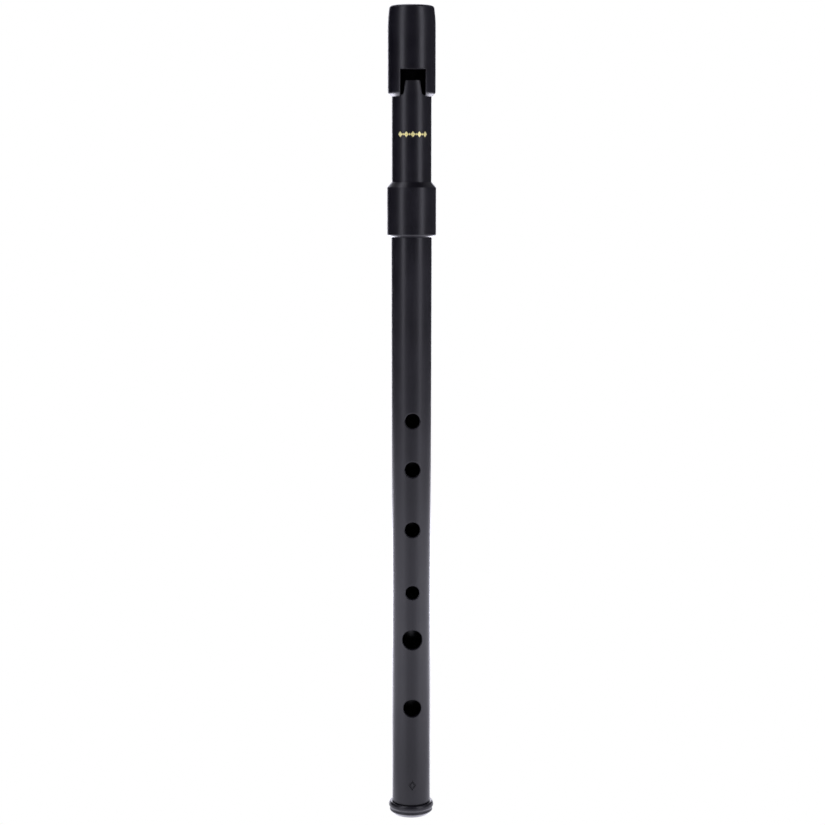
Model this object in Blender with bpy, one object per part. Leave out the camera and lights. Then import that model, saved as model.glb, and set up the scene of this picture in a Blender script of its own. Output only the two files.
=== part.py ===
"""A tunable tin whistle in black plastic: a head that slides on a body tube with six finger holes.

The whistle stands on its foot, with its axis on +Z and its window and finger holes facing -Y.
Lengths are in metres.
"""

import math

import bmesh
import bpy

MM = 0.001
SEGMENTS = 64
ARC_STEPS = 7

# Fits
SLIDING_FIT = 0.10 * MM
GLUE_LINE = 0.15 * MM
FACE_GAP = 0.30 * MM

# Heights above the foot's flat end
LENGTH = 331.3 * MM
RING_TOP = 5.1 * MM
SOCKET_BOTTOM = 239.6 * MM
SHOULDER_BOTTOM = 259.35 * MM
SHOULDER_TOP = 261.6 * MM
CAP_BOTTOM = 295.5 * MM
LIP = 301.7 * MM
WINDOW_TOP = 306.1 * MM

# Tubes
BORE_RADIUS = 6.35 * MM
TUBE_FOOT_RADIUS = 7.82 * MM
TUBE_TOP_RADIUS = 8.15 * MM
SPIGOT_RADIUS = 7.1 * MM
NECK_RADIUS = 7.95 * MM
TENON_LENGTH = 16.6 * MM
TUBE_TOP = SOCKET_BOTTOM + TENON_LENGTH
NECK_BOTTOM = TUBE_TOP + FACE_GAP

# Finger holes, from the top one down: height and diameter
FINGER_HOLES = (
    (165.7 * MM, 6.0 * MM),
    (145.8 * MM, 6.2 * MM),
    (121.1 * MM, 6.1 * MM),
    (95.0 * MM, 5.5 * MM),
    (75.3 * MM, 8.0 * MM),
    (46.5 * MM, 7.2 * MM),
)
HOLE_SEGMENTS = 32

# Foot ring: a dished top face, a bead, a shallow groove and a bevelled foot lip
BEAD_RADIUS = 9.25 * MM
BEAD_HEIGHT = 3.6 * MM
GROOVE_RADIUS = 8.65 * MM
GROOVE_HEIGHT = 2.15 * MM
FOOT_LIP_RADIUS = 8.85 * MM
FOOT_BEVEL = 1.35 * MM
FOOT_BEVEL_ROUND = 0.35 * MM
FOOT_FACE_RADIUS = 7.35 * MM
DISH_RADIUS = 8.05 * MM
RIM_RADIUS = 8.4 * MM
RIM_TOP = 5.25 * MM

# Tuning socket
SOCKET_RADIUS = 9.87 * MM
SOCKET_BEVEL = 1.12 * MM
SOCKET_BEVEL_ROUND = 0.3 * MM
SHOULDER_ROUND = 0.35 * MM
SHOULDER_SOFTENING = 0.3

# The bevels under the cap, the socket and the foot lip
BEVEL_STEPS = 4
EDGE_FLAT = 0.1 * MM

# Mouthpiece cap
CAP_RADIUS = 9.57 * MM
CAP_TOP_RADIUS = 9.05 * MM
CAP_TAPER = 9.0 * MM
CAP_RIM_ROUND = 1.35 * MM
CAP_BEVEL = 1.3 * MM
CAP_BEVEL_ROUND = 0.6 * MM
PLUG_SEAT_RADIUS = 7.2 * MM

# Window, tongue and windway
WINDOW_HALF_WIDTH = 5.05 * MM
LIP_HALF_WIDTH = 3.03 * MM
LIP_THICKNESS = 0.15 * MM
TONGUE_HALF_WIDTH = 3.55 * MM
POCKET_ROUND = 1.5 * MM
POCKET_CENTRE = 297.3 * MM
RAMP_BOTTOM = 296.2 * MM
RAMP_HALF_ANGLE = math.radians(38.0)
NECK_TOP = 303.4 * MM
WINDWAY_HALF_WIDTH = 3.5 * MM
WINDWAY_FLOOR = 6.0 * MM

# Reach of the cutters past the walls that they cut
CUTTER_OUTSIDE = 13.0 * MM
CUTTER_INSIDE = 3.0 * MM
CUTTER_MARGIN = 2.0 * MM

SATIN_BLACK = (0.012, 0.012, 0.014)
BLOCK_BLACK = (0.009, 0.009, 0.010)
SATIN_ROUGHNESS = 0.42
BLOCK_ROUGHNESS = 0.55
SMOOTH_ANGLE = math.radians(30.0)


def clear_scene():
    for obj in list(bpy.data.objects):
        bpy.data.objects.remove(obj)


def plastic(name, colour, roughness):
    material = bpy.data.materials.new(name)
    material.use_nodes = True
    shader = material.node_tree.nodes["Principled BSDF"]
    shader.inputs["Base Color"].default_value = (*colour, 1.0)
    shader.inputs["Roughness"].default_value = roughness
    shader.inputs["Metallic"].default_value = 0.0
    return material


def arc(centre, radii, start, end, steps=ARC_STEPS):
    """Points (radius, height) on an elliptical arc from start to end, in degrees."""
    points = []
    for step in range(steps + 1):
        angle = math.radians(start + (end - start) * step / steps)
        radius = centre[0] + radii[0] * math.cos(angle)
        height = centre[1] + radii[1] * math.sin(angle)
        points.append((radius, height))
    return points


def tube_radius(height):
    """The body tube's outer radius, which grows a little from the foot to the socket."""
    share = (height - RING_TOP) / (SOCKET_BOTTOM - RING_TOP)
    return TUBE_FOOT_RADIUS + (TUBE_TOP_RADIUS - TUBE_FOOT_RADIUS) * share


def bevelled_edge(inner, outer, bottom, height, rounding):
    """Points from the inner edge out and up a bevel that rounds over into the outer wall."""
    corner = (outer, bottom + height)
    length = math.hypot(outer - inner, height)
    start = (
        corner[0] - (outer - inner) * rounding / length,
        corner[1] - height * rounding / length,
    )
    end = (outer, corner[1] + rounding)
    points = [(inner, bottom)]
    for step in range(BEVEL_STEPS + 1):
        share = step / BEVEL_STEPS
        weights = ((1.0 - share) ** 2, 2.0 * share * (1.0 - share), share**2)
        radius = sum(weight * point[0] for weight, point in zip(weights, (start, corner, end)))
        level = sum(weight * point[1] for weight, point in zip(weights, (start, corner, end)))
        points.append((radius, level))
    return points


def revolve(outline, start=0.0, sweep=2.0 * math.pi, steps=SEGMENTS):
    """A closed mesh: the closed outline of (radius, height) points turned about the Z axis."""
    full = abs(sweep - 2.0 * math.pi) < 1e-9
    mesh = bmesh.new()
    rings = []
    for step in range(steps if full else steps + 1):
        angle = start + sweep * step / steps
        across, along = math.cos(angle), math.sin(angle)
        rings.append([mesh.verts.new((r * across, r * along, z)) for r, z in outline])
    pairs = list(zip(rings, rings[1:]))
    if full:
        pairs.append((rings[-1], rings[0]))
    for ring, following in pairs:
        for index in range(len(outline)):
            after = (index + 1) % len(outline)
            mesh.faces.new((ring[index], following[index], following[after], ring[after]))
    if not full:
        mesh.faces.new(rings[0])
        mesh.faces.new(rings[-1])
    bmesh.ops.remove_doubles(mesh, verts=mesh.verts, dist=1e-7)
    bmesh.ops.recalc_face_normals(mesh, faces=mesh.faces)
    return mesh


def prism(outline, near, far):
    """A closed mesh: the outline of (x, z) points extruded along Y from near to far."""
    mesh = bmesh.new()
    front = [mesh.verts.new((x, near, z)) for x, z in outline]
    back = [mesh.verts.new((x, far, z)) for x, z in outline]
    mesh.faces.new(front)
    mesh.faces.new(back)
    for index in range(len(outline)):
        after = (index + 1) % len(outline)
        mesh.faces.new((front[index], front[after], back[after], back[index]))
    bmesh.ops.recalc_face_normals(mesh, faces=mesh.faces)
    return mesh


def add_object(name, mesh):
    data = bpy.data.meshes.new(name)
    mesh.to_mesh(data)
    mesh.free()
    obj = bpy.data.objects.new(name, data)
    bpy.context.scene.collection.objects.link(obj)
    return obj


def add_piece(name, mesh, material):
    obj = add_object(name, mesh)
    obj.data.shade_smooth()
    obj.data.set_sharp_from_angle(angle=SMOOTH_ANGLE)
    obj.data.materials.append(material)
    return obj


def cut(piece, name, mesh):
    """Cuts the mesh out of the piece, and keeps it as a hidden cutter."""
    cutter = add_object(name, mesh)
    cutter.hide_render = True
    cutter.display_type = "WIRE"
    modifier = piece.modifiers.new(name, "BOOLEAN")
    modifier.operation = "DIFFERENCE"
    modifier.solver = "EXACT"
    modifier.object = cutter


def make_body_tube(material):
    spigot_top = RING_TOP + GLUE_LINE
    outline = [
        (BORE_RADIUS, 0.0),
        (SPIGOT_RADIUS, 0.0),
        (SPIGOT_RADIUS, spigot_top),
        (tube_radius(spigot_top), spigot_top),
        (TUBE_TOP_RADIUS, SOCKET_BOTTOM),
        (TUBE_TOP_RADIUS, TUBE_TOP),
        (BORE_RADIUS, TUBE_TOP),
    ]
    tube = add_piece("body_tube", revolve(outline), material)
    for number, (height, diameter) in enumerate(FINGER_HOLES, start=1):
        cut(tube, f"finger_hole_cutter_{number}", finger_hole(height, diameter / 2.0))
    return tube


def finger_hole(height, radius):
    outline = []
    for step in range(HOLE_SEGMENTS):
        angle = 2.0 * math.pi * (step + 0.5) / HOLE_SEGMENTS
        outline.append((radius * math.cos(angle), height + radius * math.sin(angle)))
    return prism(outline, -CUTTER_OUTSIDE, -CUTTER_INSIDE)


def make_foot_ring(material):
    bore = SPIGOT_RADIUS + GLUE_LINE
    outline = [(DISH_RADIUS, RING_TOP), (bore, RING_TOP), (bore, 0.0)]
    outline += bevelled_edge(FOOT_FACE_RADIUS, FOOT_LIP_RADIUS, 0.0, FOOT_BEVEL, FOOT_BEVEL_ROUND)
    depth = BEAD_RADIUS - GROOVE_RADIUS
    for step in range(ARC_STEPS):
        share = step / ARC_STEPS
        height = GROOVE_HEIGHT + (BEAD_HEIGHT - GROOVE_HEIGHT) * share
        bulge = 0.5 - 0.5 * math.cos(math.pi * share)
        outline.append((GROOVE_RADIUS + depth * bulge, height))
    bead_top = (BEAD_RADIUS - RIM_RADIUS, RIM_TOP - BEAD_HEIGHT)
    outline += arc((RIM_RADIUS, BEAD_HEIGHT), bead_top, 0.0, 90.0)
    return add_piece("foot_ring", revolve(outline), material)


def make_tuning_socket(material):
    tenon_bore = TUBE_TOP_RADIUS + SLIDING_FIT
    neck_bore = NECK_RADIUS + GLUE_LINE
    soft = SHOULDER_SOFTENING * SHOULDER_ROUND
    outline = [(tenon_bore, NECK_BOTTOM), (tenon_bore, SOCKET_BOTTOM)]
    inner = tenon_bore + EDGE_FLAT
    outline += bevelled_edge(inner, SOCKET_RADIUS, SOCKET_BOTTOM, SOCKET_BEVEL, SOCKET_BEVEL_ROUND)
    outline += [
        (SOCKET_RADIUS, SHOULDER_BOTTOM - SHOULDER_ROUND),
        (SOCKET_RADIUS - soft, SHOULDER_BOTTOM + soft),
        (neck_bore + SHOULDER_ROUND, SHOULDER_TOP - soft),
        (neck_bore, SHOULDER_TOP),
        (neck_bore, NECK_BOTTOM),
    ]
    return add_piece("tuning_socket", revolve(outline), material)


def window_outline():
    """The inverted U that leaves the tongue standing: its two legs are the slots beside it."""
    right_leg = [(TONGUE_HALF_WIDTH, POCKET_CENTRE)]
    for step in range(1, ARC_STEPS + 1):
        angle = math.pi + 0.5 * math.pi * step / ARC_STEPS
        x = WINDOW_HALF_WIDTH + POCKET_ROUND * math.cos(angle)
        right_leg.append((x, POCKET_CENTRE + POCKET_ROUND * math.sin(angle)))
    right_leg.append((WINDOW_HALF_WIDTH, NECK_TOP + CUTTER_MARGIN))
    right = [(LIP_HALF_WIDTH, LIP)] + right_leg
    left = [(-x, z) for x, z in reversed(right)]
    return right + left


def ramp_cutter():
    """A sector of a ring whose inner face is the cone that thins the tongue to its lip."""
    lip_radius = BORE_RADIUS + LIP_THICKNESS
    slope = (lip_radius - NECK_RADIUS) / (LIP - RAMP_BOTTOM)
    top = NECK_TOP + CUTTER_MARGIN
    outline = [
        (NECK_RADIUS - slope * CUTTER_MARGIN, RAMP_BOTTOM - CUTTER_MARGIN),
        (CUTTER_OUTSIDE, RAMP_BOTTOM - CUTTER_MARGIN),
        (CUTTER_OUTSIDE, top),
        (NECK_RADIUS + slope * (top - RAMP_BOTTOM), top),
    ]
    start = -0.5 * math.pi - RAMP_HALF_ANGLE
    steps = 2 * round(SEGMENTS * RAMP_HALF_ANGLE / (2.0 * math.pi))
    return revolve(outline, start, 2.0 * RAMP_HALF_ANGLE, steps)


def make_head_tube(material):
    outline = [
        (BORE_RADIUS, NECK_BOTTOM),
        (NECK_RADIUS, NECK_BOTTOM),
        (NECK_RADIUS, NECK_TOP),
        (BORE_RADIUS, NECK_TOP),
    ]
    tube = add_piece("head_tube", revolve(outline), material)
    cut(tube, "ramp_cutter", ramp_cutter())
    cut(tube, "window_cutter", prism(window_outline(), -CUTTER_OUTSIDE, -CUTTER_INSIDE))
    return tube


def cap_side():
    """The cap's outer side from the top of its lower edge up to its rim: straight, then a soft taper."""
    side = []
    taper_bottom = LENGTH - CAP_TAPER
    taper_height = CAP_TAPER - CAP_RIM_ROUND
    for step in range(ARC_STEPS + 1):
        share = step / ARC_STEPS
        radius = CAP_RADIUS - (CAP_RADIUS - CAP_TOP_RADIUS) * share**2
        side.append((radius, taper_bottom + taper_height * share))
    return side


def make_mouthpiece_cap(material):
    neck_bore = NECK_RADIUS + GLUE_LINE
    rim_centre = (CAP_TOP_RADIUS - CAP_RIM_ROUND, LENGTH - CAP_RIM_ROUND)
    outline = [(neck_bore, WINDOW_TOP), (neck_bore, CAP_BOTTOM)]
    inner = neck_bore + EDGE_FLAT
    outline += bevelled_edge(inner, CAP_RADIUS, CAP_BOTTOM, CAP_BEVEL, CAP_BEVEL_ROUND)
    outline += cap_side()[:-1]
    outline += arc(rim_centre, (CAP_RIM_ROUND, CAP_RIM_ROUND), 0.0, 90.0)
    outline += [(PLUG_SEAT_RADIUS, LENGTH), (PLUG_SEAT_RADIUS, WINDOW_TOP)]
    cap = add_piece("mouthpiece_cap", revolve(outline), material)
    half = WINDOW_HALF_WIDTH
    bottom = CAP_BOTTOM - CUTTER_MARGIN
    slot = [(-half, bottom), (half, bottom), (half, WINDOW_TOP), (-half, WINDOW_TOP)]
    cut(cap, "slot_cutter", prism(slot, -CUTTER_OUTSIDE, -CUTTER_INSIDE))
    return cap


def make_fipple_block(material):
    radius = PLUG_SEAT_RADIUS - GLUE_LINE
    outline = [(0.0, WINDOW_TOP), (radius, WINDOW_TOP), (radius, LENGTH), (0.0, LENGTH)]
    block = add_piece("fipple_block", revolve(outline), material)
    half = WINDWAY_HALF_WIDTH
    bottom = WINDOW_TOP - CUTTER_MARGIN
    top = LENGTH + CUTTER_MARGIN
    windway = [(-half, bottom), (half, bottom), (half, top), (-half, top)]
    cut(block, "windway_cutter", prism(windway, -CUTTER_OUTSIDE, -WINDWAY_FLOOR))
    return block


def main():
    clear_scene()
    satin = plastic("satin_black_abs", SATIN_BLACK, SATIN_ROUGHNESS)
    plug = plastic("block_black_abs", BLOCK_BLACK, BLOCK_ROUGHNESS)
    make_body_tube(satin)
    make_foot_ring(satin)
    make_tuning_socket(satin)
    make_head_tube(satin)
    make_mouthpiece_cap(satin)
    make_fipple_block(plug)


main()
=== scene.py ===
"""The looks of a tunable tin whistle in black plastic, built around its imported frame.

The whistle's axis is +Z, and its window and finger holes face -Y. Lengths are in metres.
"""

import math

import bmesh
import bpy
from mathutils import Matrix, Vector


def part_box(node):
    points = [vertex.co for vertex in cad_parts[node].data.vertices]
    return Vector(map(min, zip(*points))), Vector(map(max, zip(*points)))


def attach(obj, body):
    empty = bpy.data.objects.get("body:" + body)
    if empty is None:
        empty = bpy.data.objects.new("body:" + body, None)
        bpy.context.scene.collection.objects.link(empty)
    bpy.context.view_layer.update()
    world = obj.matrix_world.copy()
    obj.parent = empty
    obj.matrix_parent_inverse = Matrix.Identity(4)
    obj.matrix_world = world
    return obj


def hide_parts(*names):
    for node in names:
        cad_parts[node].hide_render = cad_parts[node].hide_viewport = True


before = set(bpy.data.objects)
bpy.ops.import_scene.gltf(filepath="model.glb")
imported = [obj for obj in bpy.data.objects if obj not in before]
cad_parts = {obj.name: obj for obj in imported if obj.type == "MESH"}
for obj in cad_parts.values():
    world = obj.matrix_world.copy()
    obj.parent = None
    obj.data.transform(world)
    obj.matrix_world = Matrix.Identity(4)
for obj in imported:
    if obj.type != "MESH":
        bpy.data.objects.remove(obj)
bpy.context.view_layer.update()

MM = 0.001
DEGREE = math.pi / 180.0


def turned_size(node):
    """A turned node's outer radius, and its lowest and highest heights."""
    low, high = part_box(node)
    return high.x, low.z, high.z


# Sizes that the frame gives
RING_RADIUS, FOOT, RIM_TOP = turned_size("foot_ring")
TUBE_TOP_RADIUS, _, TUBE_TOP = turned_size("body_tube")
SOCKET_RADIUS, SOCKET_BOTTOM, SHOULDER_TOP = turned_size("tuning_socket")
NECK_RADIUS, NECK_BOTTOM, NECK_TOP = turned_size("head_tube")
CAP_RADIUS, CAP_BOTTOM, LENGTH = turned_size("mouthpiece_cap")
BLOCK_RADIUS, WINDOW_TOP, _ = turned_size("fipple_block")

# Fits, and the chamfer on an edge that looks sharp
SLIDING_FIT = 0.10 * MM
GLUE_LINE = 0.15 * MM
CLOSED_JOINT = 0.03 * MM
CRISP_EDGE = 0.08 * MM

# Body tube: a tenon at the top, a spigot in the foot ring, and six holes as (height, diameter)
BORE_RADIUS = 6.35 * MM
TUBE_FOOT_RADIUS = TUBE_TOP_RADIUS - 0.33 * MM
SPIGOT_RADIUS = 7.1 * MM
TENON_CHAMFER = 0.4 * MM
FINGER_HOLES = (
    (165.7 * MM, 6.0 * MM),
    (145.8 * MM, 6.2 * MM),
    (121.1 * MM, 6.1 * MM),
    (95.0 * MM, 5.5 * MM),
    (75.3 * MM, 8.0 * MM),
    (46.5 * MM, 7.2 * MM),
)
HOLE_ROUNDING = 0.38 * MM
HOLE_ROUND_STEPS = 5

# Patches: the tube's grid is left open round a hole or mark, and rings that crowd towards its edge fill it
PATCH_HALF_HEIGHT = 6.3 * MM
PATCH_RINGS = 6
PATCH_CROWDING = 1.4

# Engraved mark near the foot: a lozenge with a groove, whose section is given as shares of size and depth
MARK_HEIGHT = 13.9 * MM
MARK_HALF_WIDTH = 1.55 * MM
MARK_HALF_HEIGHT = 2.15 * MM
MARK_DEPTH = 0.3 * MM
MARK_GROOVE = ((1.0, 0.0), (0.92, 0.6), (0.84, 1.0), (0.66, 1.0), (0.58, 0.6), (0.5, 0.0), (0.2, 0.0))

# Foot ring: a dished top face, a bead, a shallow groove and a bevelled foot lip
DISH_DEPTH = 0.15 * MM
RING_TOP = RIM_TOP - DISH_DEPTH
BEAD_HEIGHT = 3.6 * MM
GROOVE_RADIUS = 8.65 * MM
GROOVE_HEIGHT = 2.15 * MM
FOOT_LIP_RADIUS = 8.85 * MM
FOOT_BEVEL = 1.35 * MM
FOOT_BEVEL_ROUND = 0.35 * MM
FOOT_FACE_RADIUS = 7.35 * MM
DISH_RADIUS = 8.05 * MM
RIM_RADIUS = 8.4 * MM

# Tuning socket: a curved lower edge and a conical shoulder with a rounded corner
SOCKET_EDGE_DEPTH = 1.3 * MM
SOCKET_EDGE_HEIGHT = 1.25 * MM
SOCKET_EDGE_ARC = 45.0
SHOULDER_HEIGHT = 2.25 * MM
SHOULDER_ROUND = 0.35 * MM
SHOULDER_ARC = 50.0
SHOULDER_STEPS = 4

# Mouthpiece cap: a rounded top rim, a taper below it and a bevelled lower edge
CAP_TOP_RADIUS = CAP_RADIUS - 0.52 * MM
CAP_TAPER = 9.0 * MM
CAP_RIM_ROUND = 1.35 * MM
CAP_BEVEL = 1.3 * MM
CAP_BEVEL_ROUND = 0.6 * MM
SLOT_BEVEL = 1.2 * CRISP_EDGE
SLOT_BEVEL_STEPS = 2
PLUG_SEAT_RADIUS = BLOCK_RADIUS + CLOSED_JOINT

# Window, tongue and windway: the tongue thins to the lip, with a round-bottomed pocket on each side
WINDOW_HALF_WIDTH = 5.05 * MM
LIP = 301.7 * MM
LIP_HALF_WIDTH = 3.03 * MM
LIP_THICKNESS = 0.15 * MM
TONGUE_HALF_WIDTH = 3.55 * MM
POCKET_ROUND = 1.5 * MM
POCKET_CENTRE = 297.3 * MM
RAMP_BOTTOM = 296.2 * MM
RAMP_HALF_ANGLE = 38.0 * DEGREE
WINDWAY_HALF_WIDTH = 3.5 * MM
WINDWAY_FLOOR = 6.0 * MM

# Gold ornament on the neck: a row of lozenges
ORNAMENT_HEIGHT = 280.5 * MM
ORNAMENT_COUNT = 9
ORNAMENT_PITCH = 1.33 * MM
LARGE_LOZENGE = (1.0 * MM, 1.2 * MM)
SMALL_LOZENGE = (0.4 * MM, 0.5 * MM)
LOZENGE_COLUMNS = 8
PRINT_HALF_THICKNESS = 0.03 * MM

# Mesh density
BEVEL_STEPS = 8
COLUMNS = 128
PATCH_COLUMNS = 32
PATCH_ROWS = 16
ARC_STEPS = 12
SLOT_COLUMNS = 16
SUPPORT = 0.15 * MM
LONG_STRAIGHT = 4.0 * SUPPORT
SMOOTH_ANGLE = 34.0 * DEGREE
FRONT = -0.5 * math.pi

# Cutters: the distances from the axis that they cut between, and how far they run on past an end
CUTTER_OUTSIDE = 13.0 * MM
CUTTER_INSIDE = 3.0 * MM
CUTTER_MARGIN = 2.0 * MM

# Satin black plastic: clouds of tone, fine grain, tool marks and specks of dust. Tones and dust are gains on
# the colour, and the two ranges are the parts of a noise that are stretched over tone and roughness.
BLACK = (0.0046, 0.0040, 0.0072)
BLOCK_BLACK = (0.004, 0.004, 0.005)
SATIN_ROUGHNESS = 0.36
MATT_ROUGHNESS = 0.5
NOISE_ROUGHNESS = 0.55
CLOUD_SCALE = 55.0
GRAIN_SCALE = 5200.0
LINE_SCALE = 2600.0
SOFT_DETAIL = 2.0
RICH_DETAIL = 3.0
TONE_RANGE = (0.35, 0.65)
GLOSS_RANGE = (0.3, 0.7)
LINE_DEPTH = 0.08
ALONG_THE_TUBE = (1.0, 1.0, 0.012)
ROUND_THE_TUBE = (0.012, 0.012, 1.0)
TONES = (0.86, 1.16)
ROUGHNESS_SPREAD = 0.025
DUST_SCALE = 300.0
DUST_SHARE = 0.14
DUST_SIZE = 0.045
DUST_TONE = 6.0
BUMP_STRENGTH = 0.06
BUMP_HEIGHT = 0.02 * MM

# Gold foil
GOLD_TONES = ((0.80, 0.70, 0.26), (0.98, 0.90, 0.44))
GOLD_GRAIN_SCALE = 1400.0
GOLD_ROUGHNESS = (0.34, 0.5)
GOLD_METALLIC = 0.25

# Camera: its place round the axis, and where it looks
CAMERA_LENS = 85.1
CAMERA_DISTANCE = 789.4 * MM
CAMERA_HEIGHT = 265.0 * MM
CAMERA_TILT = 6.985 * DEGREE
CAMERA_TURN = 3.5 * DEGREE
CAMERA_PAN = 0.0315 * DEGREE
CAMERA_ROLL = 0.055 * DEGREE

# Studio: the wall, the sky and the side light that the whistle sees, and the softboxes. A half width gives
# the bearings between which a light fades out, and a strip's angle is counted from the camera's direction.
WALL_LIGHT = 3.8
WALL_HALF_WIDTH = (12.0 * DEGREE, 26.0 * DEGREE)
SKY_LIGHT = 0.2
SKY_BAND = (0.35, 0.55, 0.75, 0.92)
SIDE_LIGHT = 0.11
SIDE_BAND = (0.5, 0.85)
STRIP_ANGLES = (-48.0 * DEGREE, 50.0 * DEGREE)
STRIP_DISTANCE = 1.3
STRIP_SIZE = (0.36, 1.5)
STRIP_HEIGHT = 0.85
STRIP_POWERS = (5.3, 5.4)
OVERHEAD_PLACE = (-0.54, 0.04, 1.33)
OVERHEAD_TARGET = (0.0, 0.0, 0.26)
OVERHEAD_SIZE = (0.3, 0.3)
OVERHEAD_POWER = 1.3
STUDIO_TINT = (1.0, 0.99, 1.12)
WHITE = (1.0, 1.0, 1.0)

# Floor: its glow in front and beside, behind, close round the foot, and in the gap under the foot's bevel.
# Rises, falls and radii are distances from the axis in metres.
FLOOR_RADIUS = 1.0
FLOOR_SEGMENTS = 96
FLOOR_GLOW = (1.0, 2.7)
FLOOR_RISE = (0.05, 0.45)
FLOOR_FALL = (0.4, 0.85)
FAR_SHARE = 0.12
FRONT_HALF_WIDTH = (20.0 * DEGREE, 45.0 * DEGREE)
FRONT_SHARE = 0.65
BESIDE_HALF_WIDTH = (80.0 * DEGREE, 110.0 * DEGREE)
BESIDE_SHARE = 0.75
SIDE_BALANCE = (-0.5, 0.5)
SIDE_GAINS = (1.1, 1.2)
BEHIND_GLOW = (3.6, 13.0)
BEHIND_RISE = (0.2, 0.5)
BEHIND_HALF_WIDTH = (25.0 * DEGREE, 48.0 * DEGREE)
POOL_GLOW = 1.15
POOL_RADII = (0.03, 0.07)
UNDERGLOW = 3.0
UNDERGLOW_RADII = (0.0085, 0.0105)


# ---------------------------------------------------------------- meshes


def arc(centre, radii, start, end, steps=ARC_STEPS):
    """Points (radius, height) on an elliptical arc from start to end, in degrees."""
    points = []
    for step in range(steps + 1):
        angle = DEGREE * (start + (end - start) * step / steps)
        points.append((centre[0] + radii[0] * math.cos(angle), centre[1] + radii[1] * math.sin(angle)))
    return points


def bevelled_edge(inner, outer, bottom, height, rounding):
    """Points from the inner edge out and up a bevel that rounds over into the outer wall."""
    corner = (outer, bottom + height)
    length = math.hypot(outer - inner, height)
    start = (
        corner[0] - (outer - inner) * rounding / length,
        corner[1] - height * rounding / length,
    )
    end = (outer, corner[1] + rounding)
    points = [(inner, bottom)]
    for step in range(BEVEL_STEPS + 1):
        share = step / BEVEL_STEPS
        weights = ((1.0 - share) ** 2, 2.0 * share * (1.0 - share), share**2)
        radius = sum(weight * point[0] for weight, point in zip(weights, (start, corner, end)))
        level = sum(weight * point[1] for weight, point in zip(weights, (start, corner, end)))
        points.append((radius, level))
    return points


def supported(outline):
    """The closed outline with extra points near the ends of its long straights, to keep them flat."""
    points = []
    for index, (radius, height) in enumerate(outline):
        next_radius, next_height = outline[(index + 1) % len(outline)]
        across, along = next_radius - radius, next_height - height
        length = math.hypot(across, along)
        points.append((radius, height))
        if length > LONG_STRAIGHT:
            for share in (SUPPORT / length, 1.0 - SUPPORT / length):
                points.append((radius + across * share, height + along * share))
    return points


def around(radius, height, angle):
    """The point at that radius and height, at an angle from the front, counted towards +X."""
    return (radius * math.cos(FRONT + angle), radius * math.sin(FRONT + angle), height)


def ring(mesh, radius, height):
    """A ring of vertices; the first PATCH_COLUMNS of its cells are centred on the front."""
    step = 2.0 * math.pi / COLUMNS
    first = -0.5 * PATCH_COLUMNS * step
    return [mesh.verts.new(around(radius, height, first + step * column)) for column in range(COLUMNS)]


def join_rings(mesh, one, other, columns=range(COLUMNS)):
    for column in columns:
        after = (column + 1) % len(one)
        mesh.faces.new((one[column], one[after], other[after], other[column]))


def revolve(outline):
    """A closed mesh: the closed outline of (radius, height) points turned about the Z axis."""
    mesh = bmesh.new()
    rings = [ring(mesh, radius, height) for radius, height in supported(outline)]
    for index, one in enumerate(rings):
        join_rings(mesh, one, rings[(index + 1) % len(rings)])
    return mesh


def prism(outline, near, far):
    """A closed mesh: the outline of (x, z) points extruded along Y from near to far."""
    mesh = bmesh.new()
    front = [mesh.verts.new((x, near, z)) for x, z in outline]
    back = [mesh.verts.new((x, far, z)) for x, z in outline]
    mesh.faces.new(front)
    mesh.faces.new(back)
    join_rings(mesh, front, back, range(len(outline)))
    return mesh


def add_object(name, mesh):
    bmesh.ops.recalc_face_normals(mesh, faces=mesh.faces)
    data = bpy.data.meshes.new(name)
    mesh.to_mesh(data)
    mesh.free()
    data.shade_smooth()
    data.set_sharp_from_angle(angle=SMOOTH_ANGLE)
    obj = bpy.data.objects.new(name, data)
    bpy.context.scene.collection.objects.link(obj)
    return obj


def cut(piece, *cutters):
    """Cuts the cutter meshes out of the piece for good."""
    for number, mesh in enumerate(cutters):
        cutter = add_object(f"{piece.name}_cutter_{number}", mesh)
        modifier = piece.modifiers.new("cut", "BOOLEAN")
        modifier.operation = "DIFFERENCE"
        modifier.solver = "EXACT"
        modifier.object = cutter
        bpy.context.view_layer.update()
        graph = bpy.context.evaluated_depsgraph_get()
        result = bpy.data.meshes.new_from_object(piece.evaluated_get(graph))
        piece.modifiers.clear()
        piece.data = result
        bpy.data.objects.remove(cutter)
    piece.data.shade_smooth()
    piece.data.set_sharp_from_angle(angle=SMOOTH_ANGLE)


def dress(piece, material, body, node):
    """Gives the piece its material, and lets it stand for the CAD node on that body."""
    piece.data.materials.clear()
    piece.data.materials.append(material)
    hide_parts(node)
    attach(piece, body)
    return piece


def finish_piece(name, mesh, material, body, node):
    return dress(add_object(name, mesh), material, body, node)


# ---------------------------------------------------------------- body tube


def tube_radius(height):
    """The body tube's outer radius, which grows a little from the foot to the socket."""
    share = min(1.0, (height - RING_TOP) / (SOCKET_BOTTOM - RING_TOP))
    return TUBE_FOOT_RADIUS + (TUBE_TOP_RADIUS - TUBE_FOOT_RADIUS) * share


def bore(_height):
    """The bore's radius, the same at every height."""
    return BORE_RADIUS


def patch_edge(rows, first_row):
    """The closed loop of ring vertices round the patch whose lowest row is first_row."""
    low, high = rows[first_row], rows[first_row + PATCH_ROWS]
    sides = range(1, PATCH_ROWS)
    loop = [low[column] for column in range(PATCH_COLUMNS + 1)]
    loop += [rows[first_row + row][PATCH_COLUMNS] for row in sides]
    loop += [high[column] for column in range(PATCH_COLUMNS, -1, -1)]
    loop += [rows[first_row + row][0] for row in reversed(sides)]
    return loop


def unrolled(vertex, radius, height):
    """A vertex's place on the unrolled skin, measured from the middle of the patch."""
    angle = math.atan2(vertex.co.y, vertex.co.x) - FRONT
    return radius * angle, vertex.co.z - height


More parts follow.
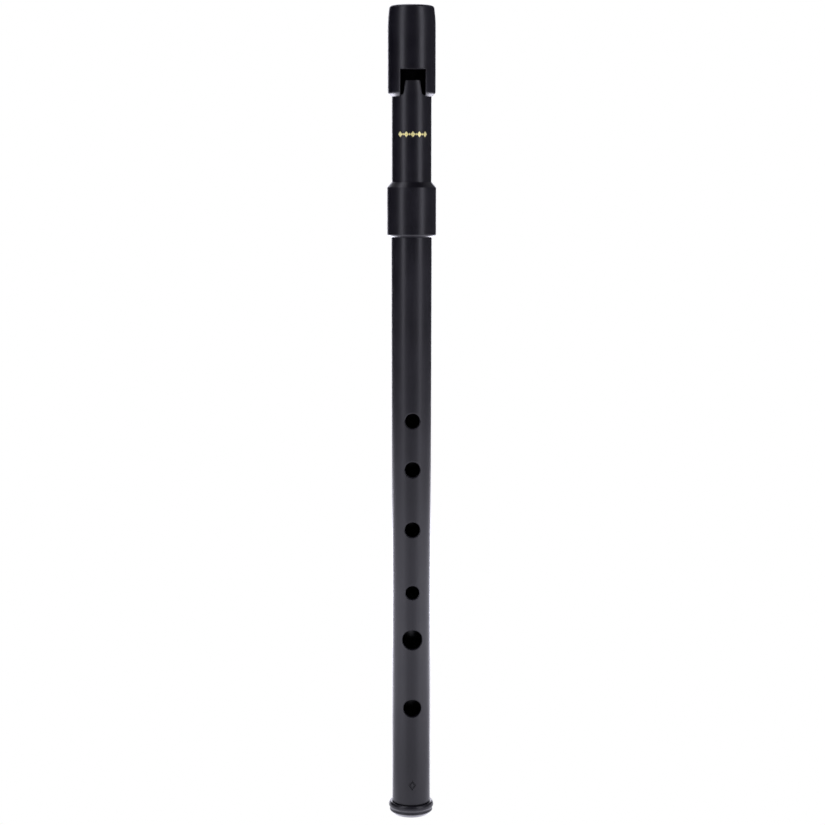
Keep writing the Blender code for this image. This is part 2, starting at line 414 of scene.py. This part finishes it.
def fill_patch(mesh, loop, height, radius_at, inner_loop, outline):
    """Fills the skin between the patch's edge and inner_loop, whose outline gives (x, z) for an angle."""
    radius = radius_at(height)
    last = inner_loop
    for number in range(1, PATCH_RINGS):
        share = (number / PATCH_RINGS) ** PATCH_CROWDING
        following = []
        for vertex in loop:
            across, along = unrolled(vertex, radius, height)
            x, z = outline(math.atan2(along, across))
            near = radius * math.asin(x / radius_at(height + z))
            z += (along - z) * share
            angle = (near + (across - near) * share) / radius
            following.append(mesh.verts.new(around(radius_at(height + z), height + z, angle)))
        join_rings(mesh, last, following, range(len(loop)))
        last = following
    join_rings(mesh, last, loop, range(len(loop)))


def loop_on_skin(mesh, loop, height, radius_at, depth, outline):
    """A ring of vertices on the outline, depth below the skin, one for each vertex of the patch's edge."""
    radius = radius_at(height)
    made = []
    for vertex in loop:
        across, along = unrolled(vertex, radius, height)
        x, z = outline(math.atan2(along, across))
        level = radius_at(height + z) - depth
        made.append(mesh.verts.new(around(level, height + z, math.asin(x / level))))
    return made


def circle(radius):
    """An outline for the skin: the circle's (x, z) at an angle."""

    def outline(angle):
        return radius * math.cos(angle), radius * math.sin(angle)

    return outline


def lozenge(half_width, half_height):
    """An outline for the skin: the lozenge's (x, z) at an angle."""

    def outline(angle):
        across, along = math.cos(angle), math.sin(angle)
        reach = 1.0 / (abs(across) / half_width + abs(along) / half_height)
        return reach * across, reach * along

    return outline


def pierce(mesh, outer_loop, inner_loop, height, radius):
    """A finger hole: its rounded rim, its straight wall, and the skins round its two ends."""
    outer_edge = circle(radius + HOLE_ROUNDING)
    rim = loop_on_skin(mesh, outer_loop, height, tube_radius, 0.0, outer_edge)
    fill_patch(mesh, outer_loop, height, tube_radius, rim, outer_edge)
    last = rim
    for step in range(1, HOLE_ROUND_STEPS + 1):
        angle = 0.5 * math.pi * step / HOLE_ROUND_STEPS
        edge = circle(radius + HOLE_ROUNDING * (1.0 - math.sin(angle)))
        depth = HOLE_ROUNDING * (1.0 - math.cos(angle))
        following = loop_on_skin(mesh, outer_loop, height, tube_radius, depth, edge)
        join_rings(mesh, last, following, range(len(last)))
        last = following
    inner_edge = circle(radius)
    end = loop_on_skin(mesh, inner_loop, height, bore, 0.0, inner_edge)
    join_rings(mesh, last, end, range(len(last)))
    fill_patch(mesh, inner_loop, height, bore, end, inner_edge)


def engrave(mesh, outer_loop, height):
    """The engraved lozenge: a flat groove round a standing middle."""
    last = None
    for size, depth in MARK_GROOVE:
        edge = lozenge(MARK_HALF_WIDTH * size, MARK_HALF_HEIGHT * size)
        following = loop_on_skin(mesh, outer_loop, height, tube_radius, MARK_DEPTH * depth, edge)
        if last is None:
            fill_patch(mesh, outer_loop, height, tube_radius, following, edge)
        else:
            join_rings(mesh, last, following, range(len(last)))
        last = following
    middle = mesh.verts.new(around(tube_radius(height), height, 0.0))
    for index, vertex in enumerate(last):
        mesh.faces.new((vertex, last[(index + 1) % len(last)], middle))


def make_body_tube(material):
    spigot_top = RING_TOP + CLOSED_JOINT
    centres = [MARK_HEIGHT] + sorted(height for height, _ in FINGER_HOLES)
    heights = [spigot_top + CRISP_EDGE, spigot_top + CRISP_EDGE + SUPPORT]
    first_rows = []
    for centre in centres:
        first_rows.append(len(heights))
        for row in range(PATCH_ROWS + 1):
            heights.append(centre + PATCH_HALF_HEIGHT * (2.0 * row / PATCH_ROWS - 1.0))
    heights += [SOCKET_BOTTOM, TUBE_TOP - TENON_CHAMFER - SUPPORT, TUBE_TOP - TENON_CHAMFER]
    mesh = bmesh.new()
    outer = [ring(mesh, tube_radius(height), height) for height in heights]
    inner = [ring(mesh, BORE_RADIUS, height) for height in heights]
    beside = range(PATCH_COLUMNS, COLUMNS)
    for row in range(len(heights) - 1):
        in_patch = [first for first in first_rows if first <= row < first + PATCH_ROWS]
        engraved = in_patch == first_rows[:1]
        join_rings(mesh, outer[row], outer[row + 1], beside if in_patch else range(COLUMNS))
        join_rings(mesh, inner[row], inner[row + 1], beside if in_patch and not engraved else range(COLUMNS))
    bottom = [
        (tube_radius(spigot_top) - CRISP_EDGE, spigot_top),
        (SPIGOT_RADIUS, spigot_top),
        (SPIGOT_RADIUS, FOOT + GLUE_LINE),
        (SPIGOT_RADIUS - GLUE_LINE, FOOT),
        (BORE_RADIUS + GLUE_LINE, FOOT),
        (BORE_RADIUS, FOOT + GLUE_LINE),
    ]
    top = [
        (TUBE_TOP_RADIUS - TENON_CHAMFER, TUBE_TOP),
        (BORE_RADIUS + CRISP_EDGE, TUBE_TOP),
    ]
    for first, last, outline in ((outer[0], inner[0], bottom), (outer[-1], inner[-1], top)):
        for radius, height in outline:
            following = ring(mesh, radius, height)
            join_rings(mesh, first, following)
            first = following
        join_rings(mesh, first, last)
    engrave(mesh, patch_edge(outer, first_rows[0]), MARK_HEIGHT)
    diameters = dict(FINGER_HOLES)
    for centre, first in zip(centres[1:], first_rows[1:]):
        pierce(mesh, patch_edge(outer, first), patch_edge(inner, first), centre, diameters[centre] / 2.0)
    for vertex in [vertex for vertex in mesh.verts if not vertex.link_faces]:
        mesh.verts.remove(vertex)
    return finish_piece("tube", mesh, material, "body", "body_tube")


# ---------------------------------------------------------------- turned pieces


def make_foot_ring(material):
    ring_bore = SPIGOT_RADIUS + GLUE_LINE
    outline = [
        (ring_bore, RING_TOP - CRISP_EDGE),
        (ring_bore, FOOT + CRISP_EDGE),
        (ring_bore + CRISP_EDGE, FOOT),
    ]
    outline += bevelled_edge(FOOT_FACE_RADIUS, FOOT_LIP_RADIUS, FOOT, FOOT_BEVEL, FOOT_BEVEL_ROUND)
    depth = RING_RADIUS - GROOVE_RADIUS
    for step in range(ARC_STEPS):
        share = step / ARC_STEPS
        bulge = 0.5 - 0.5 * math.cos(math.pi * share)
        height = GROOVE_HEIGHT + (BEAD_HEIGHT - GROOVE_HEIGHT) * share
        outline.append((GROOVE_RADIUS + depth * bulge, height))
    bead_top = (RING_RADIUS - RIM_RADIUS, RIM_TOP - BEAD_HEIGHT)
    outline += arc((RIM_RADIUS, BEAD_HEIGHT), bead_top, 0.0, 90.0)
    outline += [(DISH_RADIUS, RING_TOP), (ring_bore + CRISP_EDGE, RING_TOP)]
    return finish_piece("foot_bead", revolve(outline), material, "body", "foot_ring")


def make_tuning_socket(material):
    tenon_bore = TUBE_TOP_RADIUS + SLIDING_FIT
    neck_bore = NECK_RADIUS + CLOSED_JOINT
    shoulder_bottom = SHOULDER_TOP - SHOULDER_HEIGHT
    outline = [(tenon_bore, NECK_BOTTOM), (tenon_bore, SOCKET_BOTTOM + CRISP_EDGE)]
    outline.append((tenon_bore + CRISP_EDGE, SOCKET_BOTTOM))
    edge_depth = SOCKET_EDGE_DEPTH / (1.0 - math.cos(DEGREE * SOCKET_EDGE_ARC))
    edge_height = SOCKET_EDGE_HEIGHT / math.sin(DEGREE * SOCKET_EDGE_ARC)
    edge_centre = (SOCKET_RADIUS - edge_depth, SOCKET_BOTTOM + SOCKET_EDGE_HEIGHT)
    outline += arc(edge_centre, (edge_depth, edge_height), -SOCKET_EDGE_ARC, 0.0, BEVEL_STEPS)
    shoulder_centre = (SOCKET_RADIUS - SHOULDER_ROUND, shoulder_bottom)
    outline += arc(shoulder_centre, (SHOULDER_ROUND, SHOULDER_ROUND), 0.0, SHOULDER_ARC, SHOULDER_STEPS)
    outline += [
        (neck_bore + CRISP_EDGE, SHOULDER_TOP),
        (neck_bore, SHOULDER_TOP - CRISP_EDGE),
        (neck_bore, NECK_BOTTOM),
    ]
    return finish_piece("socket", revolve(outline), material, "head", "tuning_socket")


# ---------------------------------------------------------------- mouthpiece


def cap_outline():
    """The cap's closed outline, from the window's top on the outside up, over and down the inside."""
    neck_bore = NECK_RADIUS + CLOSED_JOINT
    rim_centre = (CAP_TOP_RADIUS - CAP_RIM_ROUND, LENGTH - CAP_RIM_ROUND)
    taper_bottom = LENGTH - CAP_TAPER
    taper_height = CAP_TAPER - CAP_RIM_ROUND
    above = [
        (CAP_RADIUS, WINDOW_TOP),
        (CAP_RADIUS, WINDOW_TOP + 2.0 * SUPPORT),
        (CAP_RADIUS, taper_bottom - SUPPORT),
    ]
    for step in range(ARC_STEPS):
        share = step / ARC_STEPS
        radius = CAP_RADIUS - (CAP_RADIUS - CAP_TOP_RADIUS) * share**2
        above.append((radius, taper_bottom + taper_height * share))
    above += arc(rim_centre, (CAP_RIM_ROUND, CAP_RIM_ROUND), 0.0, 90.0)
    above += [
        (PLUG_SEAT_RADIUS + CRISP_EDGE, LENGTH),
        (PLUG_SEAT_RADIUS, LENGTH - CRISP_EDGE),
        (PLUG_SEAT_RADIUS, WINDOW_TOP),
        (neck_bore, WINDOW_TOP),
    ]
    below = [(neck_bore, CAP_BOTTOM + CRISP_EDGE)]
    inner = neck_bore + CRISP_EDGE
    below += bevelled_edge(inner, CAP_RADIUS, CAP_BOTTOM, CAP_BEVEL, CAP_BEVEL_ROUND)
    below.append((CAP_RADIUS, CAP_BOTTOM + CAP_BEVEL + CAP_BEVEL_ROUND + SUPPORT))
    return above, below


def slotted_ring(mesh, radius, height):
    """A ring whose first SLOT_COLUMNS cells lie between the slot's two planes."""
    half_angle = math.asin(WINDOW_HALF_WIDTH / radius)
    angles = []
    for column in range(SLOT_COLUMNS):
        x = WINDOW_HALF_WIDTH * (2.0 * column / SLOT_COLUMNS - 1.0)
        angles.append(math.asin(x / radius))
    rest = COLUMNS - SLOT_COLUMNS
    for column in range(rest):
        angles.append(half_angle + (2.0 * math.pi - 2.0 * half_angle) * column / rest)
    return [mesh.verts.new(around(radius, height, angle)) for angle in angles]


def make_mouthpiece_cap(material):
    """The cap, turned in one loop round its outline, without the slot's cells below the window's top."""
    above, below = cap_outline()
    mesh = bmesh.new()
    upper = [slotted_ring(mesh, radius, height) for radius, height in above]
    lower = [slotted_ring(mesh, radius, height) for radius, height in below]
    for one, other in zip(upper, upper[1:]):
        join_rings(mesh, one, other)
    chain = [upper[-1]] + lower + [upper[0]]
    for one, other in zip(chain, chain[1:]):
        join_rings(mesh, one, other, range(SLOT_COLUMNS, COLUMNS))
    join_rings(mesh, upper[0], upper[-1], range(SLOT_COLUMNS))
    for column in (0, SLOT_COLUMNS):
        mesh.faces.new([vertices[column] for vertices in chain])
    bmesh.ops.recalc_face_normals(mesh, faces=mesh.faces)
    outer_chain = lower[1:] + [upper[0]]
    edges = []
    for column in (0, SLOT_COLUMNS):
        for one, other in zip(outer_chain, outer_chain[1:]):
            edges.append(mesh.edges.get((one[column], other[column])))
    for column in range(SLOT_COLUMNS):
        edges.append(mesh.edges.get((upper[0][column], upper[0][column + 1])))
    bmesh.ops.bevel(
        mesh, geom=edges, offset=SLOT_BEVEL, segments=SLOT_BEVEL_STEPS, profile=0.5, affect="EDGES"
    )
    return finish_piece("mouth_cap", mesh, material, "head", "mouthpiece_cap")


def window_outline():
    """The inverted U that leaves the tongue standing: its two legs are the slots beside it."""
    right = [(LIP_HALF_WIDTH, LIP), (TONGUE_HALF_WIDTH, POCKET_CENTRE)]
    for step in range(1, ARC_STEPS + 1):
        angle = math.pi + 0.5 * math.pi * step / ARC_STEPS
        x = WINDOW_HALF_WIDTH + POCKET_ROUND * math.cos(angle)
        right.append((x, POCKET_CENTRE + POCKET_ROUND * math.sin(angle)))
    right.append((WINDOW_HALF_WIDTH, NECK_TOP + CUTTER_MARGIN))
    left = [(-x, z) for x, z in reversed(right)]
    return right + left


def ramp_cutter():
    """A sector of a ring whose inner face is the cone that thins the tongue to its lip."""
    lip_radius = BORE_RADIUS + LIP_THICKNESS
    slope = (lip_radius - NECK_RADIUS) / (LIP - RAMP_BOTTOM)
    top = NECK_TOP + CUTTER_MARGIN
    bottom = RAMP_BOTTOM - CUTTER_MARGIN
    outline = [
        (NECK_RADIUS - slope * CUTTER_MARGIN, bottom),
        (CUTTER_OUTSIDE, bottom),
        (CUTTER_OUTSIDE, top),
        (NECK_RADIUS + slope * (top - RAMP_BOTTOM), top),
    ]
    mesh = bmesh.new()
    steps = PATCH_COLUMNS
    slices = []
    for step in range(steps + 1):
        angle = RAMP_HALF_ANGLE * (2.0 * step / steps - 1.0)
        slices.append([mesh.verts.new(around(radius, height, angle)) for radius, height in outline])
    for one, other in zip(slices, slices[1:]):
        join_rings(mesh, one, other, range(len(outline)))
    mesh.faces.new(slices[0])
    mesh.faces.new(slices[-1])
    return mesh


def make_head_tube(material):
    outline = [
        (BORE_RADIUS, NECK_BOTTOM),
        (NECK_RADIUS - CRISP_EDGE, NECK_BOTTOM),
        (NECK_RADIUS, NECK_BOTTOM + CRISP_EDGE),
        (NECK_RADIUS, NECK_TOP - CRISP_EDGE),
        (NECK_RADIUS - CRISP_EDGE, NECK_TOP),
        (BORE_RADIUS, NECK_TOP),
    ]
    tube = add_object("neck_tube", revolve(outline))
    window = prism(window_outline(), -CUTTER_OUTSIDE, -CUTTER_INSIDE)
    cut(tube, ramp_cutter(), window)
    return dress(tube, material, "head", "head_tube")


def make_fipple_block(material):
    """A round plug with a flat along its front; its two ends are chamfered."""
    half_angle = math.asin(WINDWAY_HALF_WIDTH / BLOCK_RADIUS)
    mesh = bmesh.new()
    rings = []
    sections = (
        (WINDOW_TOP, CRISP_EDGE),
        (WINDOW_TOP + CRISP_EDGE, 0.0),
        (LENGTH - CRISP_EDGE, 0.0),
        (LENGTH, CRISP_EDGE),
    )
    for height, inset in sections:
        points = []
        for step in range(COLUMNS + 1):
            angle = half_angle + (2.0 * math.pi - 2.0 * half_angle) * step / COLUMNS
            points.append(around(BLOCK_RADIUS - inset, height, angle))
        floor = -WINDWAY_FLOOR + inset
        points.append((-WINDWAY_HALF_WIDTH + inset, floor, height))
        points.append((WINDWAY_HALF_WIDTH - inset, floor, height))
        rings.append([mesh.verts.new(point) for point in points])
    for one, other in zip(rings, rings[1:]):
        join_rings(mesh, one, other, range(len(one)))
    mesh.faces.new(rings[0])
    mesh.faces.new(rings[-1])
    return finish_piece("plug", mesh, material, "head", "fipple_block")


# ---------------------------------------------------------------- ornament


def add_lozenge(mesh, centre, half_width, half_height):
    """A thin lozenge bent round the neck, closed on both sides."""
    skins = []
    for radius in (NECK_RADIUS - PRINT_HALF_THICKNESS, NECK_RADIUS + PRINT_HALF_THICKNESS):
        upper, lower = [], []
        for column in range(LOZENGE_COLUMNS + 1):
            offset = half_width * (2.0 * column / LOZENGE_COLUMNS - 1.0)
            reach = half_height * (1.0 - abs(offset) / half_width)
            angle = (centre + offset) / NECK_RADIUS
            upper.append(mesh.verts.new(around(radius, ORNAMENT_HEIGHT + reach, angle)))
            if column in (0, LOZENGE_COLUMNS):
                lower.append(upper[-1])
            else:
                lower.append(mesh.verts.new(around(radius, ORNAMENT_HEIGHT - reach, angle)))
        for column in range(LOZENGE_COLUMNS):
            corners = [lower[column], lower[column + 1], upper[column + 1], upper[column]]
            mesh.faces.new(list(dict.fromkeys(corners)))
        skins.append(upper + lower[LOZENGE_COLUMNS - 1 : 0 : -1])
    join_rings(mesh, skins[0], skins[1], range(len(skins[0])))


def make_ornament(material):
    mesh = bmesh.new()
    for number in range(ORNAMENT_COUNT):
        centre = ORNAMENT_PITCH * (number - 0.5 * (ORNAMENT_COUNT - 1))
        half_width, half_height = SMALL_LOZENGE if number % 2 else LARGE_LOZENGE
        add_lozenge(mesh, centre, half_width, half_height)
    ornament = add_object("gold_lozenges", mesh)
    ornament.data.materials.append(material)
    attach(ornament, "head")
    return ornament


# ---------------------------------------------------------------- materials


def add_node(tree, kind, inputs=None, **settings):
    """Adds a node, with its settings, and feeds its inputs with values or with other nodes' outputs."""
    made = tree.nodes.new(kind)
    for name, value in settings.items():
        setattr(made, name, value)
    for key, value in (inputs or {}).items():
        if isinstance(value, bpy.types.NodeSocket):
            tree.links.new(value, made.inputs[key])
        else:
            made.inputs[key].default_value = value
    return made


def calculate(tree, operation, one, other=0.0):
    return add_node(tree, "ShaderNodeMath", {0: one, 1: other}, operation=operation).outputs[0]


def noise(tree, place, scale, detail, stretch=(1.0, 1.0, 1.0)):
    mapped = add_node(tree, "ShaderNodeMapping", {"Vector": place, "Scale": stretch}).outputs[0]
    inputs = {"Vector": mapped, "Scale": scale, "Detail": detail, "Roughness": NOISE_ROUGHNESS}
    return add_node(tree, "ShaderNodeTexNoise", inputs).outputs[0]


def remap(tree, value, low, high, new_low, new_high):
    inputs = {"Value": value, "From Min": low, "From Max": high, "To Min": new_low, "To Max": new_high}
    return add_node(tree, "ShaderNodeMapRange", inputs, interpolation_type="SMOOTHSTEP").outputs[0]


def blend_colour(tree, share, one, other):
    mix = add_node(tree, "ShaderNodeMix", {"Factor": share}, data_type="RGBA")
    for socket, value in (("A", one), ("B", other)):
        target = [each for each in mix.inputs if each.name == socket and each.type == "RGBA"][0]
        if isinstance(value, bpy.types.NodeSocket):
            tree.links.new(value, target)
        else:
            target.default_value = (*value, 1.0)
    return [each for each in mix.outputs if each.type == "RGBA"][0]


def new_material(name):
    material = bpy.data.materials.new(name)
    material.use_nodes = True
    tree = material.node_tree
    place = add_node(tree, "ShaderNodeTexCoord").outputs["Object"]
    return material, tree, tree.nodes["Principled BSDF"], place


def shaded(colour, gain):
    return tuple(gain * channel for channel in colour)


def dust(tree, place):
    """1 on a few small specks, 0 elsewhere."""
    cells = add_node(tree, "ShaderNodeTexVoronoi", {"Vector": place, "Scale": DUST_SCALE}).outputs
    lot = add_node(tree, "ShaderNodeSeparateColor", {"Color": cells["Color"]}).outputs[0]
    chosen = calculate(tree, "GREATER_THAN", lot, 1.0 - DUST_SHARE)
    near = calculate(tree, "LESS_THAN", cells["Distance"], DUST_SIZE)
    return calculate(tree, "MULTIPLY", chosen, near)


def satin_plastic(name, shade, roughness, marks):
    """Satin black moulding: faint clouds of tone, a fine grain, tool marks one way, and specks of dust."""
    material, tree, shader, place = new_material(name)
    clouds = noise(tree, place, CLOUD_SCALE, RICH_DETAIL)
    grain = noise(tree, place, GRAIN_SCALE, SOFT_DETAIL)
    lines = noise(tree, place, LINE_SCALE, RICH_DETAIL, marks)
    dark, light = [shaded(shade, gain) for gain in TONES]
    tone = blend_colour(tree, remap(tree, clouds, *TONE_RANGE, 0.0, 1.0), dark, light)
    tone = blend_colour(tree, dust(tree, place), tone, shaded(shade, DUST_TONE))
    tree.links.new(tone, shader.inputs["Base Color"])
    spread = (roughness - ROUGHNESS_SPREAD, roughness + ROUGHNESS_SPREAD)
    uneven = remap(tree, clouds, *GLOSS_RANGE, *spread)
    fine = remap(tree, lines, *GLOSS_RANGE, -ROUGHNESS_SPREAD, ROUGHNESS_SPREAD)
    tree.links.new(calculate(tree, "ADD", uneven, fine), shader.inputs["Roughness"])
    height = calculate(tree, "ADD", grain, calculate(tree, "MULTIPLY", lines, LINE_DEPTH))
    inputs = {"Height": height, "Strength": BUMP_STRENGTH, "Distance": BUMP_HEIGHT}
    tree.links.new(add_node(tree, "ShaderNodeBump", inputs).outputs[0], shader.inputs["Normal"])
    return material


def gold_print(name):
    """Pale gold foil, a little uneven where it was pressed on."""
    material, tree, shader, place = new_material(name)
    patchy = noise(tree, place, GOLD_GRAIN_SCALE, RICH_DETAIL)
    tone = blend_colour(tree, remap(tree, patchy, *TONE_RANGE, 0.0, 1.0), *GOLD_TONES)
    tree.links.new(tone, shader.inputs["Base Color"])
    tree.links.new(remap(tree, patchy, *GLOSS_RANGE, *GOLD_ROUGHNESS), shader.inputs["Roughness"])
    shader.inputs["Metallic"].default_value = GOLD_METALLIC
    return material


# ---------------------------------------------------------------- studio


def split(tree, place):
    """A place's or direction's X, Y and Z, and its bearing: 0 behind the whistle, pi in front of it."""
    parts = add_node(tree, "ShaderNodeSeparateXYZ", {"Vector": place}).outputs
    return parts, calculate(tree, "ABSOLUTE", calculate(tree, "ARCTAN2", parts["X"], parts["Y"]))


def white_to_camera(tree, light, strength, colour):
    """Feeds a shader's strength and colour: plain white for the camera, tinted light for the whistle."""
    seen = add_node(tree, "ShaderNodeLightPath").outputs["Is Camera Ray"]
    mix = add_node(tree, "ShaderNodeMix", {"Factor": seen, "A": light, "B": 1.0}, data_type="FLOAT")
    tree.links.new(mix.outputs[0], strength)
    tree.links.new(blend_colour(tree, seen, STUDIO_TINT, WHITE), colour)


def make_world():
    """A white studio seen by the camera, which the whistle sees as dark apart from a white wall behind it."""
    world = bpy.data.worlds.new("studio")
    world.use_nodes = True
    tree = world.node_tree
    background = tree.nodes["Background"].inputs
    parts, bearing = split(tree, add_node(tree, "ShaderNodeTexCoord").outputs["Generated"])
    wall = remap(tree, bearing, *WALL_HALF_WIDTH, WALL_LIGHT, 0.0)
    rise = remap(tree, parts["Z"], *SKY_BAND[:2], 0.0, SKY_LIGHT)
    sky = calculate(tree, "MULTIPLY", rise, remap(tree, parts["Z"], *SKY_BAND[2:], 1.0, 0.0))
    side = remap(tree, parts["X"], *SIDE_BAND, 0.0, SIDE_LIGHT)
    light = calculate(tree, "ADD", calculate(tree, "ADD", wall, sky), side)
    white_to_camera(tree, light, background["Strength"], background["Color"])
    bpy.context.scene.world = world


def make_softbox(name, place, target, size, power):
    """A rectangular softbox at that place, which faces the target."""
    data = bpy.data.lights.new(name, "AREA")
    data.shape = "RECTANGLE"
    data.size, data.size_y = size
    data.energy = power
    data.color = STUDIO_TINT
    softbox = bpy.data.objects.new(name, data)
    softbox.location = place
    softbox.rotation_euler = (Vector(place) - Vector(target)).to_track_quat("Z", "Y").to_euler()
    softbox.visible_camera = False
    bpy.context.scene.collection.objects.link(softbox)


def make_floor():
    """A floor that is white to the camera, and to the whistle a glow that is brightest behind it."""
    mesh = bmesh.new()
    bmesh.ops.create_circle(mesh, cap_ends=True, segments=FLOOR_SEGMENTS, radius=FLOOR_RADIUS)
    floor = add_object("studio_floor", mesh)
    floor.location.z = FOOT
    material, tree, shader, place = new_material("white_floor")
    parts, bearing = split(tree, place)
    away = add_node(tree, "ShaderNodeVectorMath", {"Vector": place}, operation="LENGTH").outputs["Value"]
    front = [math.pi - angle for angle in FRONT_HALF_WIDTH]
    gain = remap(tree, bearing, front[1], front[0], 1.0, FRONT_SHARE)
    for share in (
        remap(tree, bearing, *BESIDE_HALF_WIDTH, BESIDE_SHARE, 1.0),
        remap(tree, calculate(tree, "DIVIDE", parts["X"], away), *SIDE_BALANCE, *SIDE_GAINS),
    ):
        gain = calculate(tree, "MULTIPLY", gain, share)
    glow = calculate(tree, "MULTIPLY", remap(tree, away, *FLOOR_RISE, *FLOOR_GLOW), gain)
    glow = remap(tree, away, *POOL_RADII, POOL_GLOW, glow)
    behind = remap(tree, away, *BEHIND_RISE, *BEHIND_GLOW)
    glow = remap(tree, bearing, *BEHIND_HALF_WIDTH, behind, glow)
    glow = calculate(tree, "MULTIPLY", glow, remap(tree, away, *FLOOR_FALL, 1.0, FAR_SHARE))
    glow = remap(tree, away, *UNDERGLOW_RADII, UNDERGLOW, glow)
    white_to_camera(tree, glow, shader.inputs["Emission Strength"], shader.inputs["Emission Color"])
    shader.inputs["Base Color"].default_value = (0.0, 0.0, 0.0, 1.0)
    shader.inputs["Specular IOR Level"].default_value = 0.0
    floor.data.materials.append(material)


def make_camera():
    data = bpy.data.cameras.new("camera")
    data.lens = CAMERA_LENS
    camera = bpy.data.objects.new("camera", data)
    camera.location = around(CAMERA_DISTANCE, CAMERA_HEIGHT, -CAMERA_TURN)
    camera.rotation_euler = (0.5 * math.pi - CAMERA_TILT, 0.0, -CAMERA_TURN - CAMERA_PAN)
    camera.rotation_euler.rotate_axis("Z", CAMERA_ROLL)
    bpy.context.scene.collection.objects.link(camera)
    bpy.context.scene.camera = camera


def main():
    bpy.context.scene.view_settings.view_transform = "Standard"
    make_camera()
    make_world()
    for name, angle, power in zip(("left_strip", "right_strip"), STRIP_ANGLES, STRIP_POWERS):
        place = around(STRIP_DISTANCE, STRIP_HEIGHT, angle - CAMERA_TURN)
        make_softbox(name, place, (0.0, 0.0, STRIP_HEIGHT), STRIP_SIZE, power)
    make_softbox("overhead", OVERHEAD_PLACE, OVERHEAD_TARGET, OVERHEAD_SIZE, OVERHEAD_POWER)
    make_floor()
    make_body_tube(satin_plastic("tube_satin", BLACK, SATIN_ROUGHNESS, ALONG_THE_TUBE))
    make_foot_ring(satin_plastic("ring_satin", BLACK, SATIN_ROUGHNESS, ROUND_THE_TUBE))
    make_tuning_socket(satin_plastic("socket_satin", BLACK, SATIN_ROUGHNESS, ROUND_THE_TUBE))
    make_head_tube(satin_plastic("neck_satin", BLACK, SATIN_ROUGHNESS, ROUND_THE_TUBE))
    make_mouthpiece_cap(satin_plastic("cap_satin", BLACK, SATIN_ROUGHNESS, ROUND_THE_TUBE))
    make_fipple_block(satin_plastic("block_satin", BLOCK_BLACK, MATT_ROUGHNESS, ROUND_THE_TUBE))
    make_ornament(gold_print("gold_foil"))


main()
